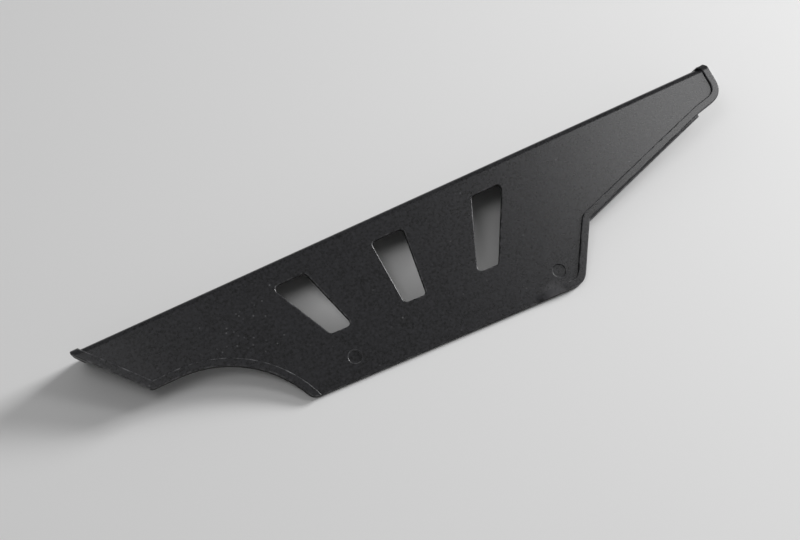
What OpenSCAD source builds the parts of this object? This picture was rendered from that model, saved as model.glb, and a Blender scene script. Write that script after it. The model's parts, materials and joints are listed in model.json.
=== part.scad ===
// Chain guard for a motorcycle, moulded in one piece.
// A side panel and a top flange meet in a rounded corner, and the chain runs inside the angle.
// The panel is drawn in its own plane: x runs along the top edge towards the tail,
// y is zero on the top edge and falls down the panel, and z is zero on the outer face.
// The finished guard is then tipped on to the floor, outer face up, as it lies when it is off the bike.

/* [Walls] */
// Thickness of the moulded wall
wall = 2.5; // [1.8:0.1:3.5]
// Outside radius of the corner between the panel and the top flange
corner_r = 3.5; // [3:0.1:6]
// Length of the top edge
top_len = 402.6; // [385:0.2:430]

/* [Front arm] */
// Slope of the front end against the top edge, in degrees
front_slope = 49.7; // [42:0.1:60]
// Height of the front arm
arm_h = 36.3; // [28:0.1:42]
// Radius of the point at the lower end of the front arm
arm_point_r = 3; // [1:0.5:5]
// Radius of the arch that clears the swing arm
arch_r = 62.5; // [55:0.5:72]
// Distance from the front corner to the middle of the arch
arch_x = 45.6; // [38:0.2:50]

/* [Body] */
// Height that the bottom edge would have at the front corner
bottom_h = 72; // [66:0.2:76]
// Slope of the bottom edge against the top edge, in degrees
bottom_slope = 2.8; // [2:0.1:4.5]
// Distance from the front corner to the rear bottom corner
rear_x = 269.4; // [262:0.2:276]
// Slope of the rear side of the body against the top edge, in degrees
rear_slope = 56.3; // [48:0.1:65]
// Radius between the arch and the bottom edge
arch_foot_r = 6; // [3:0.5:9]
// Radius of the rear bottom corner
rear_corner_r = 10; // [5:0.5:11]

/* [Tail] */
// Height of the panel where the rear side meets the tail
tail_root_h = 53.4; // [46:0.1:60]
// Radius in the corner between the rear side and the tail
tail_root_r = 4; // [2:0.5:8]
// Height of the tail where it turns into the tip
tail_end_h = 24.8; // [20:0.2:30]
// Length of the tip, from that turn to the end
tip_len = 19.2; // [14:0.2:24]
// Height of the tip
tip_h = 20.6; // [17:0.2:24]
// Radius of the lower corner of the tip
tip_r = 11; // [5:0.5:13]
// Radius of the upper corner of the tip
tip_top_r = 3; // [2:0.5:6]
// Width of the thin ledge outside the rim of the tail
ledge_w = 1.3; // [0.6:0.1:2]
// Distance from the end of the guard to the end of that ledge
ledge_stop = 21; // [20:0.2:40]

/* [Rim] */
// Width of the raised rim
rim_w = 4.4; // [3:0.1:6]
// Height of the raised rim over the face
rim_h = 1.3; // [0.8:0.1:1.6]
// Length over which the rim runs out along the bottom edge, in front of the rear corner
rim_return = 20; // [12:1:30]
// Radius of the rim's inner line at the upper corner of the tip
rim_top_r = 2.5; // [1:0.5:6]

/* [Top flange] */
// Depth of the top flange at the front end
flange_d = 27; // [22:0.5:36]
// Distance that each end of the flange leans back over that depth
flange_lean = 6.2; // [2:0.2:8]
// Distance that the front tip of the flange reaches past the front corner
flange_reach = -0.9; // [-2:0.1:2]
// Radius of the two lower corners of the flange
flange_corner_r = 3; // [1:0.5:6]

/* [Windows] */
// Number of windows
window_n = 3; // [1:1:3]
// Width of a window at its top
window_top_w = 19.9; // [14:0.1:22]
// Width of a window at its bottom
window_bottom_w = 13.3; // [9:0.1:15]
// Distance from the top edge to the windows
window_top = 13.3; // [11:0.1:18]
// Distance from the windows to the bottom edge
window_foot = 28.7; // [26:0.1:36]
// Radius of the window corners
window_r = 2.5; // [1:0.1:4]
// Distance from the front corner to the point that the windows aim at
fan_x = 173.4; // [162:0.2:176]
// Height of that point below the top edge
fan_h = 150.5; // [140:0.5:170]
// Lean of the first window, in degrees
fan_first = -20.9; // [-22:0.1:-16]
// Turn from one window to the next, in degrees
fan_step = 24.3; // [23:0.1:26]

/* [Recesses] */
// Diameter of the two shallow round recesses
recess_d = 7.5; // [6:0.1:10]
// Depth of the recesses
recess_deep = 0.8; // [0.6:0.1:1.6]
// Distance from the front corner to the front recess
recess_x = 133.8; // [126:0.2:136]
// Distance between the two recesses
recess_gap = 125.3; // [118:0.1:127]
// Distance from the recesses to the bottom edge
recess_foot = 12.1; // [11:0.1:17]
// Diameter of the pad that keeps the wall thick behind a recess
pad_d = 14; // [11:0.5:16]

/* [Hidden] */
$fn = 96;

// Distance that a cutter runs past the surface that it cuts
over = 5;
// Short distance by which a small piece reaches into its neighbour
past = 1;
// Extra radius with which a rounding arc cuts cleanly across the sides that it blends
graze = 0.002;
// Height that is left of the rim where it has run out
rim_end_h = 0.1;
// Size of a sheet larger than the whole guard
sheet = 2 * top_len;

// Direction of a vector
function unit(a) = a / norm(a);
// Normal on the left of the line from a to b
function left_of(a, b) = [-unit(b - a)[1], unit(b - a)[0]];

// Directions along the bottom edge, and square to it up the panel
along_bottom = [cos(bottom_slope), -sin(bottom_slope)];
up_bottom = [sin(bottom_slope), cos(bottom_slope)];
// Point on the bottom edge, at a distance from the front corner
function bottom_point(x) = [x, -bottom_h - x * tan(bottom_slope)];
// Point on the line of the front end, at a height below the top edge
function front_point(h) = [h / tan(front_slope), -h];

// Corners of the side outline, from the top of the front end round to the top of the tail end
rear_foot = bottom_point(rear_x);
tail_root = rear_foot + [1 / tan(rear_slope), 1] * (-tail_root_h - rear_foot[1]);
tail_turn = [top_len - tip_len, -tail_end_h];
side_corners = [
    front_point(-over),
    front_point(arm_h),
    [arch_x, -arm_h],
    bottom_point(arch_x),
    rear_foot,
    tail_root,
    tail_turn,
    [top_len, -tip_h],
    [top_len, over],
];
side_radii = [0, arm_point_r, 0, 0, rear_corner_r, -tail_root_r, 0, tip_r, 0];
arch_centre = [arch_x, -arm_h - arch_r];

// The face inside the rim has the same corners, moved in by the rim's width
face_insets = [rim_w, rim_w, 0, rim_w, rim_w, rim_w, rim_w, rim_w, 0];
face_radii = [
    0, 0, 0, 0,
    max(rear_corner_r - rim_w, 0),
    -tail_root_r - rim_w,
    0,
    max(tip_r - rim_w, 0),
    0,
];

// Moves the corner b of the line a-b-c to the left of its two sides, by a distance for each side
function shifted(a, b, c, d1, d2) =
    let (n1 = left_of(a, b), n2 = left_of(b, c), det = n1[0] * n2[1] - n1[1] * n2[0])
    b + [d1 * n2[1] - d2 * n1[1], n1[0] * d2 - n2[0] * d1] / det;

// An outline moved in by its own distance for each side, where side i starts at corner i
function inset(pts, d) =
    let (n = len(pts))
    [for (i = [0:n - 1])
        let (before = (i + n - 1) % n)
        shifted(pts[before], pts[i], pts[(i + 1) % n], d[before], d[i])];

// The floor plane that the guard lies on touches the inner corner of the bottom edge
// and the inner corner of the flange's free edge, which is cut to follow it
floor_normal = unit([tan(bottom_slope) * (flange_d - wall), flange_d - wall, bottom_h - wall]);
edge_slope = floor_normal[0] / floor_normal[2];
// Depth of the flange at a distance from the front corner
function flange_depth(x) = flange_d + x * edge_slope;

// The sliver between a sharp corner b and the arc that rounds it.
// It reaches a little past the corner, so that it cuts or fills cleanly.
module corner_piece(a, b, c, r) {
    half = acos(unit(a - b) * unit(c - b)) / 2;
    reach = r / tan(half);
    inward = unit(unit(a - b) + unit(c - b));
    centre = b + inward * r / sin(half);
    difference() {
        polygon([b + unit(a - b) * reach, b - inward * past, b + unit(c - b) * reach, centre]);
        translate(centre) circle(r + graze);
    }
}

// A polygon with rounded corners: a positive radius takes an outer corner off,
// and a negative one fills an inner corner
module rounded(pts, radii) {
    n = len(pts);
    difference() {
        union() {
            polygon(pts);
            for (i = [0:n - 1])
                if (radii[i] < 0)
                    corner_piece(pts[(i + n - 1) % n], pts[i], pts[(i + 1) % n], -radii[i]);
        }
        for (i = [0:n - 1])
            if (radii[i] > 0)
                corner_piece(pts[(i + n - 1) % n], pts[i], pts[(i + 1) % n], radii[i]);
    }
}

// The sliver that rounds the corner between the arch and the bottom edge
module arch_foot_piece() {
    r = arch_foot_r;
    reach = (arch_centre - bottom_point(0)) * along_bottom;
    drop = (bottom_point(0) - arch_centre) * up_bottom;
    foot = bottom_point(0) + along_bottom * (reach + sqrt(pow(arch_r, 2) - pow(drop, 2)));
    centre = bottom_point(0) + up_bottom * r
        + along_bottom * (reach + sqrt(pow(arch_r + r, 2) - pow(drop + r, 2)));
    difference() {
        polygon([
            arch_centre + unit(centre - arch_centre) * arch_r,
            foot + unit(foot - centre) * past,
            centre - up_bottom * r,
            centre,
        ]);
        translate(centre) circle(r + graze);
    }
}

// The sliver that rounds an upper rear corner, where an end meets a line at a height
module upper_corner_piece(end_x, height, r) {
    corner_piece([end_x, -top_len], [end_x, height], [0, height], r);
}

// Outline of the side panel inside its ledge, seen from outside
module side_outline() {
    difference() {
        rounded(side_corners, side_radii);
        upper_corner_piece(top_len, rim_h, tip_top_r);
        translate(arch_centre) circle(arch_r + graze);
        arch_foot_piece();
    }
}

// The thin ledge outside the rim of the tail, which stops in a small step before the tip
module ledge_outline() {
    tail = unit(tail_turn - tail_root);
    out = [tail[1], -tail[0]];
    root = shifted(rear_foot, tail_root, tail_turn, 0, -ledge_w);
    step = tail_root + tail * (top_len - ledge_stop - tail_root[0]) / tail[0];
    polygon([tail_root - out * past, root, step + out * ledge_w, step - out * past]);
}

// The face inside the rim. The rim turns the rear bottom corner and runs out along the
// bottom edge, and from there to the arch the face is open down to the edge.
module face_outline() {
    stop = bottom_point(rear_x - rear_corner_r - rim_return);
    difference() {
        union() {
            rounded(inset(side_corners, face_insets), face_radii);
            polygon([
                bottom_point(arch_x) - up_bottom * over,
                stop - up_bottom * over,
                stop + up_bottom * (rim_w + past),
                bottom_point(arch_x) + up_bottom * (rim_w + past),
            ]);
        }
        translate(arch_centre) circle(arch_r + rim_w + graze);
        upper_corner_piece(top_len - rim_w, 0, rim_top_r);
    }
}

// The wedge over the slope on which the rim runs out along the bottom edge
module run_out() {
    fall = atan((rim_h - rim_end_h) / rim_return);
    translate([each bottom_point(rear_x - rear_corner_r), rim_h])
        rotate([0, -fall, -bottom_slope])
            translate([-rim_return - over, -over, 0])
                cube([rim_return + over, rim_w + 2 * over, over]);
}

// Outline of the top flange laid flat: x along the edge, y for the depth below the face.
// Its ends can be moved in, and it can run on beyond the free edge, where it keeps sharp corners.
module flange_outline(end_inset, beyond) {
    lean = flange_lean / flange_d;
    front = -flange_reach + end_inset;
    rear = top_len - end_inset;
    r = beyond > 0 ? 0 : flange_corner_r;
    front_x = (front + lean * (flange_d + beyond)) / (1 - lean * edge_slope);
    rear_x = (rear - lean * (flange_d + beyond)) / (1 + lean * edge_slope);
    rounded([
        [front - lean * over, over],
        [front_x, -flange_depth(front_x) - beyond],
        [rear_x, -flange_depth(rear_x) - beyond],
        [rear + lean * over, over],
    ], [0, r, r, 0]);
}

// The block behind the two outer faces, with the rounded corner between them, grown outwards
// by a distance. In its section x runs down the panel and y for the depth, and the sides
// away from the faces lie past those of a block that is grown more.
module block(grown) {
    far = grown - top_len;
    translate([grown - 3 * over, 0, 0]) rotate([90, 0, 90])
        linear_extrude(top_len + 6 * over - 2 * grown)
            rounded([
                [grown, far],
                [far, far],
                [far, grown],
                [grown, grown],
            ], [0, 0, 0, max(corner_r + grown, 0)]);
}

// Everything outside a flat outline, as a plate from one height to another
module around(low, high) {
    translate([0, 0, low]) linear_extrude(high - low) difference() {
        translate([-sheet / 2, -sheet / 2]) square([2 * sheet, sheet]);
        children();
    }
}

// Everything outside an outline of the flange, over the thickness of the flange and its corner
module around_flange(end_inset, beyond) {
    translate([0, over, 0]) rotate([90, 0, 0])
        around(0, over + corner_r + past) flange_outline(end_inset, beyond);
}

// The angle of panel and flange, cut to its outlines and as thick as the rim stands
module blank() {
    difference() {
        block(rim_h);
        block(-wall);
        around(-sheet / 2, sheet / 2) side_outline();
        around_flange(0, 0);
    }
}

// The layer that is sunk outside the wall, and leaves the rim standing
module face_cut() {
    difference() {
        block(rim_h + over);
        block(0);
        around(-sheet / 2, sheet / 2) face_outline();
        around_flange(rim_w, over);
    }
}

// One window: a trapezium with round corners that leans towards a point below the guard
module window_outline(lean) {
    slope = tan(bottom_slope);
    // Height below the top edge where the window's middle line meets its bottom
    foot_h = (bottom_h - window_foot / cos(bottom_slope) + slope * (fan_x + fan_h * tan(lean)))
        / (1 + slope * tan(lean));
    top = [fan_x + (fan_h - window_top) * tan(lean), -window_top];
    foot = [fan_x + (fan_h - foot_h) * tan(lean), -foot_h];
    rounded([
        top - [window_top_w / 2, 0],
        foot - along_bottom * window_bottom_w / 2,
        foot + along_bottom * window_bottom_w / 2,
        top + [window_top_w / 2, 0],
    ], [window_r, window_r, window_r, window_r]);
}

// Places its child on the two recesses
module at_recesses() {
    for (x = [recess_x, recess_x + recess_gap])
        translate(bottom_point(x) + up_bottom * recess_foot) children();
}

// The guard in the frame of its panel
module moulding() {
    difference() {
        union() {
            difference() {
                blank();
                face_cut();
                run_out();
            }
            translate([0, 0, -wall]) linear_extrude(wall) ledge_outline();
            at_recesses() translate([0, 0, -wall - recess_deep]) cylinder(d = pad_d, h = wall);
        }
        for (i = [0:window_n - 1])
            translate([0, 0, -wall - over]) linear_extrude(wall + 2 * over)
                window_outline(fan_first + i * fan_step);
        at_recesses() translate([0, 0, -recess_deep]) cylinder(d = recess_d, h = over);
    }
}

// Turns that bring the floor plane level
rest_tilt = atan2(floor_normal[1], floor_normal[2]);
rest_lean = -atan2(floor_normal[0], norm([floor_normal[1], floor_normal[2]]));
// A point of the panel's frame, after those turns
function rested(p) =
    let (y = p[1] * cos(rest_tilt) - p[2] * sin(rest_tilt),
        z = p[1] * sin(rest_tilt) + p[2] * cos(rest_tilt))
    [p[0] * cos(rest_lean) + z * sin(rest_lean), y, z * cos(rest_lean) - p[0] * sin(rest_lean)];
// Points round the front end of the rounded corner, where the panel's end meets the flange's end
front_corner = [for (turn = [0:5:90])
    let (y = (corner_r + rim_h) * sin(turn) - corner_r, z = (corner_r + rim_h) * cos(turn) - corner_r)
    [max(front_point(-y)[0], -flange_reach - z * flange_lean / flange_d), y, z]];
// The outermost points of the guard: front corner, tail end, rear bottom corner, flange corner
// and bottom edge
rear_turn = (180 - rear_slope - bottom_slope) / 2;
rear_low = rear_foot - along_bottom * rear_corner_r / tan(rear_turn)
    + up_bottom * rear_corner_r - [0, rear_corner_r];
flange_end_x = top_len - flange_lean - flange_corner_r;
outermost = [
    for (p = front_corner) rested(p),
    rested([top_len, tip_r - tip_h, -wall]),
    rested([each rear_low, rim_h]),
    rested([flange_end_x, rim_h, -flange_depth(flange_end_x)]),
    rested([each bottom_point(rear_x / 2), -wall]),
];
function middle(axis) = (max([for (p = outermost) p[axis]]) + min([for (p = outermost) p[axis]])) / 2;
floor_z = rested([each bottom_point(rear_x / 2), -wall])[2];

// The guard as it lies, with its origin on the floor under the middle of its box
module chain_guard() {
    color("#35363a")
        translate([-middle(0), -middle(1), -floor_z])
            rotate([rest_tilt, rest_lean, 0])
                moulding();
}

chain_guard();
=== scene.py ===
import json
import math

import bmesh
import bpy
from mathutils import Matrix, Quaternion, Vector

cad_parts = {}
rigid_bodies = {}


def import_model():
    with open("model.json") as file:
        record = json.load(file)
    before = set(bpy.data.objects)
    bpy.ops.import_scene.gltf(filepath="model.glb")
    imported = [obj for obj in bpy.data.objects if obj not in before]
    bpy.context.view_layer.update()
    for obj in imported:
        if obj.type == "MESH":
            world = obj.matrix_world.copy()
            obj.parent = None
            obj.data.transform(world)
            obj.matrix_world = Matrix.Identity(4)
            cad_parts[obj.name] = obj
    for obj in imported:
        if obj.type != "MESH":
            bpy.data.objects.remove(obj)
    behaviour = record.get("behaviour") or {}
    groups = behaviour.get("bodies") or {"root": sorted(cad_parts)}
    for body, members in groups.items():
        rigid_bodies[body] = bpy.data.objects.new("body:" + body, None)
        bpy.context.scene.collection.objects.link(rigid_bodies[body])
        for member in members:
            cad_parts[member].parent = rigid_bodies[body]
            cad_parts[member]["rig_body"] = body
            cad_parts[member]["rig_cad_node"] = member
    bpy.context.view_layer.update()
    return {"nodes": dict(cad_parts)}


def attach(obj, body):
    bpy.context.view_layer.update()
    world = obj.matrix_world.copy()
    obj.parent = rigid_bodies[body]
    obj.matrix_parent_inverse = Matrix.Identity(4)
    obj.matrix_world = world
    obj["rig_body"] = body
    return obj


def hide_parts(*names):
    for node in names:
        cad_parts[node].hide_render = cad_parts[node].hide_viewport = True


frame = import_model()

# Chain guard
# One injection moulding of charcoal polypropylene: panel, flange, rim and windows in one wall.
# Its edges are rounded, most of all on the rim and round the windows, and catch fine lines of light; a
# pale painted highlight along them adds to these lines.
# On the motorcycle it is fixed to the swing arm at its two round recesses.
mm = 0.001


def linear(hex_colour):
    """An sRGB hex colour such as "35363a" as linear red, green, blue and alpha."""
    channels = [int(hex_colour[i:i + 2], 16) / 255 for i in (0, 2, 4)]
    return [c / 12.92 if c <= 0.04045 else ((c + 0.055) / 1.055) ** 2.4 for c in channels] + [1]


def add_node(tree, kind, settings=None, links=None):
    """Adds a shader node, with settings and links by name, or by number where sockets share one."""
    node = tree.nodes.new(kind)
    for name, value in (settings or {}).items():
        if isinstance(name, int) or name in node.inputs:
            node.inputs[name].default_value = value
        else:
            setattr(node, name, value)
    for name, source in (links or {}).items():
        tree.links.new(source, node.inputs[name])
    return node


def new_material(name):
    """An empty material and its shader tree."""
    material = bpy.data.materials.new(name)
    material.use_nodes = True
    material.node_tree.nodes.clear()
    return material, material.node_tree


cad_guard = frame["nodes"]["chain_guard"]
bpy.ops.object.select_all(action="DESELECT")
guard = cad_guard.copy()
guard.data = cad_guard.data.copy()
guard.name = "guard_moulding"
guard.parent = None
# The copy is no CAD node, so it drops the marks of one.
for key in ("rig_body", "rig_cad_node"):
    if key in guard:
        del guard[key]
bpy.context.scene.collection.objects.link(guard)
guard.select_set(True)
bpy.context.view_layer.objects.active = guard

# Heights are measured from the outer face of the panel, which holds the largest face turned up.
turned_up = 0.9
outer_face = max(
    (face for face in guard.data.polygons if face.normal.z > turned_up),
    key=lambda face: face.area,
)
face_point = outer_face.center.copy()
face_normal = outer_face.normal.copy()


def height(point):
    """How far a point lies above the outer face, or below it where that is negative."""
    return (point - face_point).dot(face_normal)


# The rim runs out on a slope at the bottom edge, and the last traces of it are pressed flat.
# Then the loose triangles are joined, and those in one plane become one face.
near_bottom = -30 * mm
rim_trace = 0.25 * mm
weld_gap = 0.002 * mm
one_plane = math.radians(0.4)
for vertex in guard.data.vertices:
    if vertex.co.y < near_bottom and abs(height(vertex.co)) < rim_trace:
        vertex.co -= face_normal * height(vertex.co)
bpy.ops.object.mode_set(mode="EDIT")
bpy.ops.mesh.select_all(action="SELECT")
bpy.ops.mesh.remove_doubles(threshold=weld_gap)
bpy.ops.mesh.dissolve_limited(angle_limit=one_plane)
bpy.ops.object.mode_set(mode="OBJECT")

# The rim and the windows have the larger radius, and the other edges the smaller one.
# The rim's foot and the edges of its slope stay sharp.
# A face counts as a wall where less than half of its normal points straight out of the outer face.
soft_edge = 0.6 * mm
plain_edge = 0.3 * mm
sharp_corner = math.radians(40)
wall_lean = 0.5
through_wall = 2 * mm
slack = 0.05 * mm
shell = bmesh.new()
shell.from_mesh(guard.data)
weights = shell.edges.layers.float.new("bevel_weight_edge")
for edge in shell.edges:
    if edge.calc_face_angle() < sharp_corner:
        continue
    ends = [height(vertex.co) for vertex in edge.verts]
    walls = [face for face in edge.link_faces if abs(face.normal.dot(face_normal)) < wall_lean]
    at_bottom = edge.verts[0].co.y < near_bottom
    radius = plain_edge
    if len(walls) == 1 and min(ends) > -slack:
        foot = min(height(vertex.co) for vertex in walls[0].verts)
        on_slope = at_bottom and max(ends) - min(ends) > slack
        on_rim = max(ends) > slack
        round_window = foot < -through_wall and not at_bottom
        if on_slope or edge.calc_face_angle_signed() <= 0:
            radius = 0
        elif on_rim or round_window:
            radius = soft_edge
    edge[weights] = radius / soft_edge
shell.to_mesh(guard.data)
shell.free()

# A second slot with the same plastic shows which faces the rounding makes, and goes again below.
guard.data.materials.clear()
plastic, tree = new_material("moulded charcoal polypropylene")
guard.data.materials.append(plastic)
guard.data.materials.append(plastic)
rounding = guard.modifiers.new("moulded edges", "BEVEL")
rounding.width = soft_edge
rounding.segments = 4
rounding.limit_method = "WEIGHT"
rounding.use_clamp_overlap = False
rounding.material = 1
bpy.ops.object.modifier_apply(modifier=rounding.name)

# The rounded faces are marked as edges, and the narrow upright faces between them as walls. The
# plastic paints a highlight on the edges and shade on the walls.
wall = 2.5 * mm
upright_lean = 0.35
edge_mark = guard.data.attributes.new("edge", "FLOAT", "FACE")
wall_mark = guard.data.attributes.new("wall", "FLOAT", "FACE")
for face in guard.data.polygons:
    lowest = min(height(guard.data.vertices[i].co) for i in face.vertices)
    upright = abs(face.normal.dot(face_normal)) < upright_lean
    rounded = face.material_index == 1
    narrow = lowest > -wall - slack
    edge_mark.data[face.index].value = float(rounded)
    wall_mark.data[face.index].value = float(upright and narrow and not rounded)
    face.material_index = 0
guard.data.materials.pop(index=1)
smooth_bend = math.radians(30)
bpy.ops.object.shade_smooth_by_angle(angle=smooth_bend)
flats = guard.modifiers.new("flat faces stay flat", "WEIGHTED_NORMAL")
flats.mode = "FACE_AREA"
flats.weight = 100
flats.keep_sharp = True
bpy.ops.object.modifier_apply(modifier=flats.name)

# Charcoal polypropylene from a spark eroded mould: nearly black, its soft sheen broken by fine grain.
# The real grain of about 0.2 mm is too fine to show, so it is drawn coarser.
# Broad faint clouds lie under it, from flow in the mould.
grain_size = 1.5 * mm
cloud_size = 24 * mm
deep_charcoal = "09090a"
pale_charcoal = "2a2a2d"
place = add_node(tree, "ShaderNodeTexCoord").outputs["Object"]
grain = add_node(
    tree, "ShaderNodeTexNoise",
    {"Scale": 1 / grain_size, "Detail": 3, "Roughness": 0.65},
    {"Vector": place},
)
mottle = add_node(
    tree, "ShaderNodeTexNoise",
    {"Scale": 1 / cloud_size, "Detail": 4, "Roughness": 0.55},
    {"Vector": place},
)
cloud = add_node(
    tree, "ShaderNodeMapRange",
    {"From Min": 0.35, "From Max": 0.65, "To Max": 0.3},
    {"Value": mottle.outputs["Fac"]},
)
tone = add_node(
    tree, "ShaderNodeMapRange",
    {"From Min": 0.33, "From Max": 0.67, "To Max": 0.95},
    {"Value": grain.outputs["Fac"], "To Min": cloud.outputs["Result"]},
)
shade = add_node(
    tree, "ShaderNodeMix",
    {"data_type": "RGBA"},
    {"Factor": tone.outputs["Result"]},
)
shade.inputs["A"].default_value = linear(deep_charcoal)
shade.inputs["B"].default_value = linear(pale_charcoal)

# Pale nicks in the grain: close together in a scuffed patch above the arch, and a few elsewhere.
# Each cell of the pattern may hold one nick: its colour decides whether it does, and how pale it is.
scuffed_patch = (-116 * mm, 10 * mm, 19 * mm)
patch_core = 10 * mm
patch_edge = 26 * mm
nick_gap = 2.6 * mm
from_patch = add_node(
    tree, "ShaderNodeVectorMath",
    {"operation": "DISTANCE", 1: scuffed_patch},
    {0: place},
)
nick_chance = add_node(
    tree, "ShaderNodeMapRange",
    {"From Min": patch_core, "From Max": patch_edge, "To Min": 0.62, "To Max": 0.05},
    {"Value": from_patch.outputs["Value"]},
)
nick = add_node(
    tree, "ShaderNodeTexVoronoi",
    {"Scale": 1 / nick_gap},
    {"Vector": place},
)
nick_dot = add_node(
    tree, "ShaderNodeMapRange",
    {"From Min": 0.08, "From Max": 0.24, "To Min": 1, "To Max": 0},
    {"Value": nick.outputs["Distance"]},
)
nick_draw = add_node(tree, "ShaderNodeSeparateColor", None, {"Color": nick.outputs["Color"]})
nick_here = add_node(
    tree, "ShaderNodeMath",
    {"operation": "LESS_THAN"},
    {0: nick_draw.outputs["Red"], 1: nick_chance.outputs["Result"]},
)
nick_depth = add_node(
    tree, "ShaderNodeMath",
    {"operation": "MULTIPLY"},
    {0: nick_here.outputs["Value"], 1: nick_draw.outputs["Green"]},
)
specks = add_node(
    tree, "ShaderNodeMath",
    {"operation": "MULTIPLY"},
    {0: nick_dot.outputs["Result"], 1: nick_depth.outputs["Value"]},
)

# Pale places: the rounded edges get a painted highlight mixed with rubbing, where the pale line comes
# and goes, and the end of the rim's slope is rubbed.
rub_and_highlight_size = 4 * mm
rubbed_end = (50.5 * mm, -45.7 * mm, 2.7 * mm)
end_core = 2 * mm
end_edge = 9 * mm
rub_and_highlight_charcoal = "626264"
on_edge = add_node(tree, "ShaderNodeAttribute", {"attribute_name": "edge"})
rub_and_highlight_noise = add_node(
    tree, "ShaderNodeTexNoise",
    {"Scale": 1 / rub_and_highlight_size, "Detail": 4, "Roughness": 0.7},
    {"Vector": place},
)
rub_and_highlight_patches = add_node(
    tree, "ShaderNodeMapRange",
    {"From Min": 0.45, "From Max": 0.7},
    {"Value": rub_and_highlight_noise.outputs["Fac"]},
)
# Painted highlight, partly rubbing: the rounded edges turn pale in patches.
edge_rub_and_highlight = add_node(
    tree, "ShaderNodeMath",
    {"operation": "MULTIPLY"},
    {0: on_edge.outputs["Fac"], 1: rub_and_highlight_patches.outputs["Result"]},
)
from_end = add_node(
    tree, "ShaderNodeVectorMath",
    {"operation": "DISTANCE", 1: rubbed_end},
    {0: place},
)
end_field = add_node(
    tree, "ShaderNodeMapRange",
    {"From Min": end_core, "From Max": end_edge, "To Min": 1, "To Max": 0},
    {"Value": from_end.outputs["Value"]},
)
end_rub = add_node(
    tree, "ShaderNodeMath",
    {"operation": "MULTIPLY"},
    {0: end_field.outputs["Result"], 1: rub_and_highlight_noise.outputs["Fac"]},
)
rub_and_highlight_marks = add_node(
    tree, "ShaderNodeMath",
    {"operation": "MAXIMUM"},
    {0: edge_rub_and_highlight.outputs["Value"], 1: end_rub.outputs["Value"]},
)
wear_and_highlight = add_node(
    tree, "ShaderNodeMath",
    {"operation": "MAXIMUM"},
    {0: specks.outputs["Value"], 1: rub_and_highlight_marks.outputs["Value"]},
)
colour = add_node(
    tree, "ShaderNodeMix",
    {"data_type": "RGBA"},
    {"Factor": wear_and_highlight.outputs["Value"]},
)
tree.links.new(shade.outputs["Result"], colour.inputs["A"])
colour.inputs["B"].default_value = linear(rub_and_highlight_charcoal)

# The sides of the mould are left rougher, so the narrow walls come out duller; their colour is also
# darkened as painted shade.
wall_shade_charcoal = "070708"
on_wall = add_node(tree, "ShaderNodeAttribute", {"attribute_name": "wall"})
# Painted shade: the narrow walls are darkened in colour.
with_wall_shade = add_node(
    tree, "ShaderNodeMix",
    {"data_type": "RGBA"},
    {"Factor": on_wall.outputs["Fac"]},
)
tree.links.new(colour.outputs["Result"], with_wall_shade.inputs["A"])
with_wall_shade.inputs["B"].default_value = linear(wall_shade_charcoal)
gloss = add_node(
    tree, "ShaderNodeMapRange",
    {"To Min": 0.24, "To Max": 0.32},
    {"Value": grain.outputs["Fac"]},
)
dull = add_node(
    tree, "ShaderNodeMapRange",
    {"To Max": 0.9},
    {"Value": on_wall.outputs["Fac"], "To Min": gloss.outputs["Result"]},
)
grain_depth = 0.05 * mm
bump = add_node(
    tree, "ShaderNodeBump",
    {"Strength": 0.32, "Distance": grain_depth},
    {"Height": grain.outputs["Fac"]},
)
skin = add_node(
    tree, "ShaderNodeBsdfPrincipled",
    {"IOR": 1.49},
    {
        "Base Color": with_wall_shade.outputs["Result"],
        "Roughness": dull.outputs["Result"],
        "Normal": bump.outputs["Normal"],
    },
)
add_node(tree, "ShaderNodeOutputMaterial", None, {"Surface": skin.outputs["BSDF"]})
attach(guard, "root")
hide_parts("chain_guard")

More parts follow.
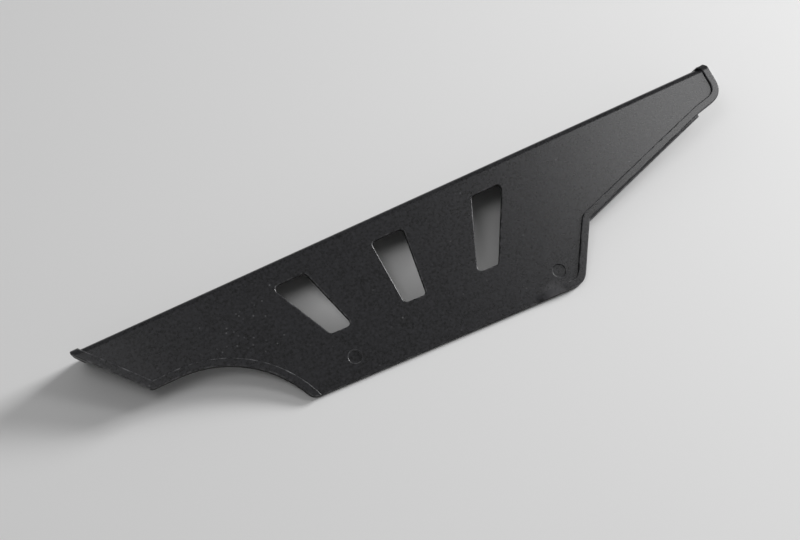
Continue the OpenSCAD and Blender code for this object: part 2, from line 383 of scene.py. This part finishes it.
# Table
# A plain table top of matt white laminate on board, which reaches far past the picture's edges.
# The guard lies loose on it.
table_side = 6
bpy.ops.object.select_all(action="DESELECT")
bpy.ops.mesh.primitive_plane_add(size=table_side, location=(0, 0, 0))
table = bpy.context.object
table.name = "table_top"
paint, tree = new_material("matt white laminate")
top = add_node(
    tree, "ShaderNodeBsdfPrincipled",
    {"Base Color": linear("e3e3e3"), "Roughness": 0.75, "IOR": 1.45},
)
add_node(tree, "ShaderNodeOutputMaterial", None, {"Surface": top.outputs["BSDF"]})
table.data.materials.append(paint)

# Light
# A window stands to the right, beyond the tail, and gives the long soft shadow.
# A small lamp above the tail and a wider one above the front end put a sheen on the plastic.
# The white room fills in the rest.
lamps = (
    ("window", 0.75, 0.62, 53, (2.02, 0.10, 0.84)),
    ("lamp above the tail", 0.34, 0.34, 2.2, (0.76, -0.10, 1.08)),
    ("lamp above the front end", 0.5, 0.5, 2.3, (-0.5, -0.15, 1.35)),
)
for name, wide, tall, power, stand in lamps:
    lamp_data = bpy.data.lights.new(name, "AREA")
    lamp_data.shape = "RECTANGLE"
    lamp_data.size = wide
    lamp_data.size_y = tall
    lamp_data.energy = power
    lamp = bpy.data.objects.new(name, lamp_data)
    lamp.location = stand
    lamp.rotation_euler = (-lamp.location).to_track_quat("-Z", "Y").to_euler()
    bpy.context.scene.collection.objects.link(lamp)

room = bpy.data.worlds.new("room")
bpy.context.scene.world = room
room.use_nodes = True
room_light = room.node_tree.nodes["Background"]
room_light.inputs["Color"].default_value = linear("ffffff")
room_light.inputs["Strength"].default_value = 0.225

# Camera
# It stands in front of the guard and a little to its left, and looks down on the outer face.
# A longish lens keeps the tail nearly as large as the front arm.
view_turn = math.radians(-29.41)
view_drop = math.radians(55.96)
view_roll = math.radians(0.49)
view_reach = 0.8342
view_centre = Vector((-0.01685, 0.0123, 0.0))
looks_along = Vector((
    -math.sin(view_turn) * math.cos(view_drop),
    math.cos(view_turn) * math.cos(view_drop),
    -math.sin(view_drop),
))
camera_data = bpy.data.cameras.new("camera")
camera_data.lens = 67.05
camera_data.sensor_width = 36
camera = bpy.data.objects.new("camera", camera_data)
camera.location = view_centre - looks_along * view_reach
level = looks_along.to_track_quat("-Z", "Y")
camera.rotation_euler = (level @ Quaternion((0, 0, 1), view_roll)).to_euler()
bpy.context.scene.collection.objects.link(camera)
bpy.context.scene.camera = camera
bpy.context.scene.view_settings.view_transform = "Standard"
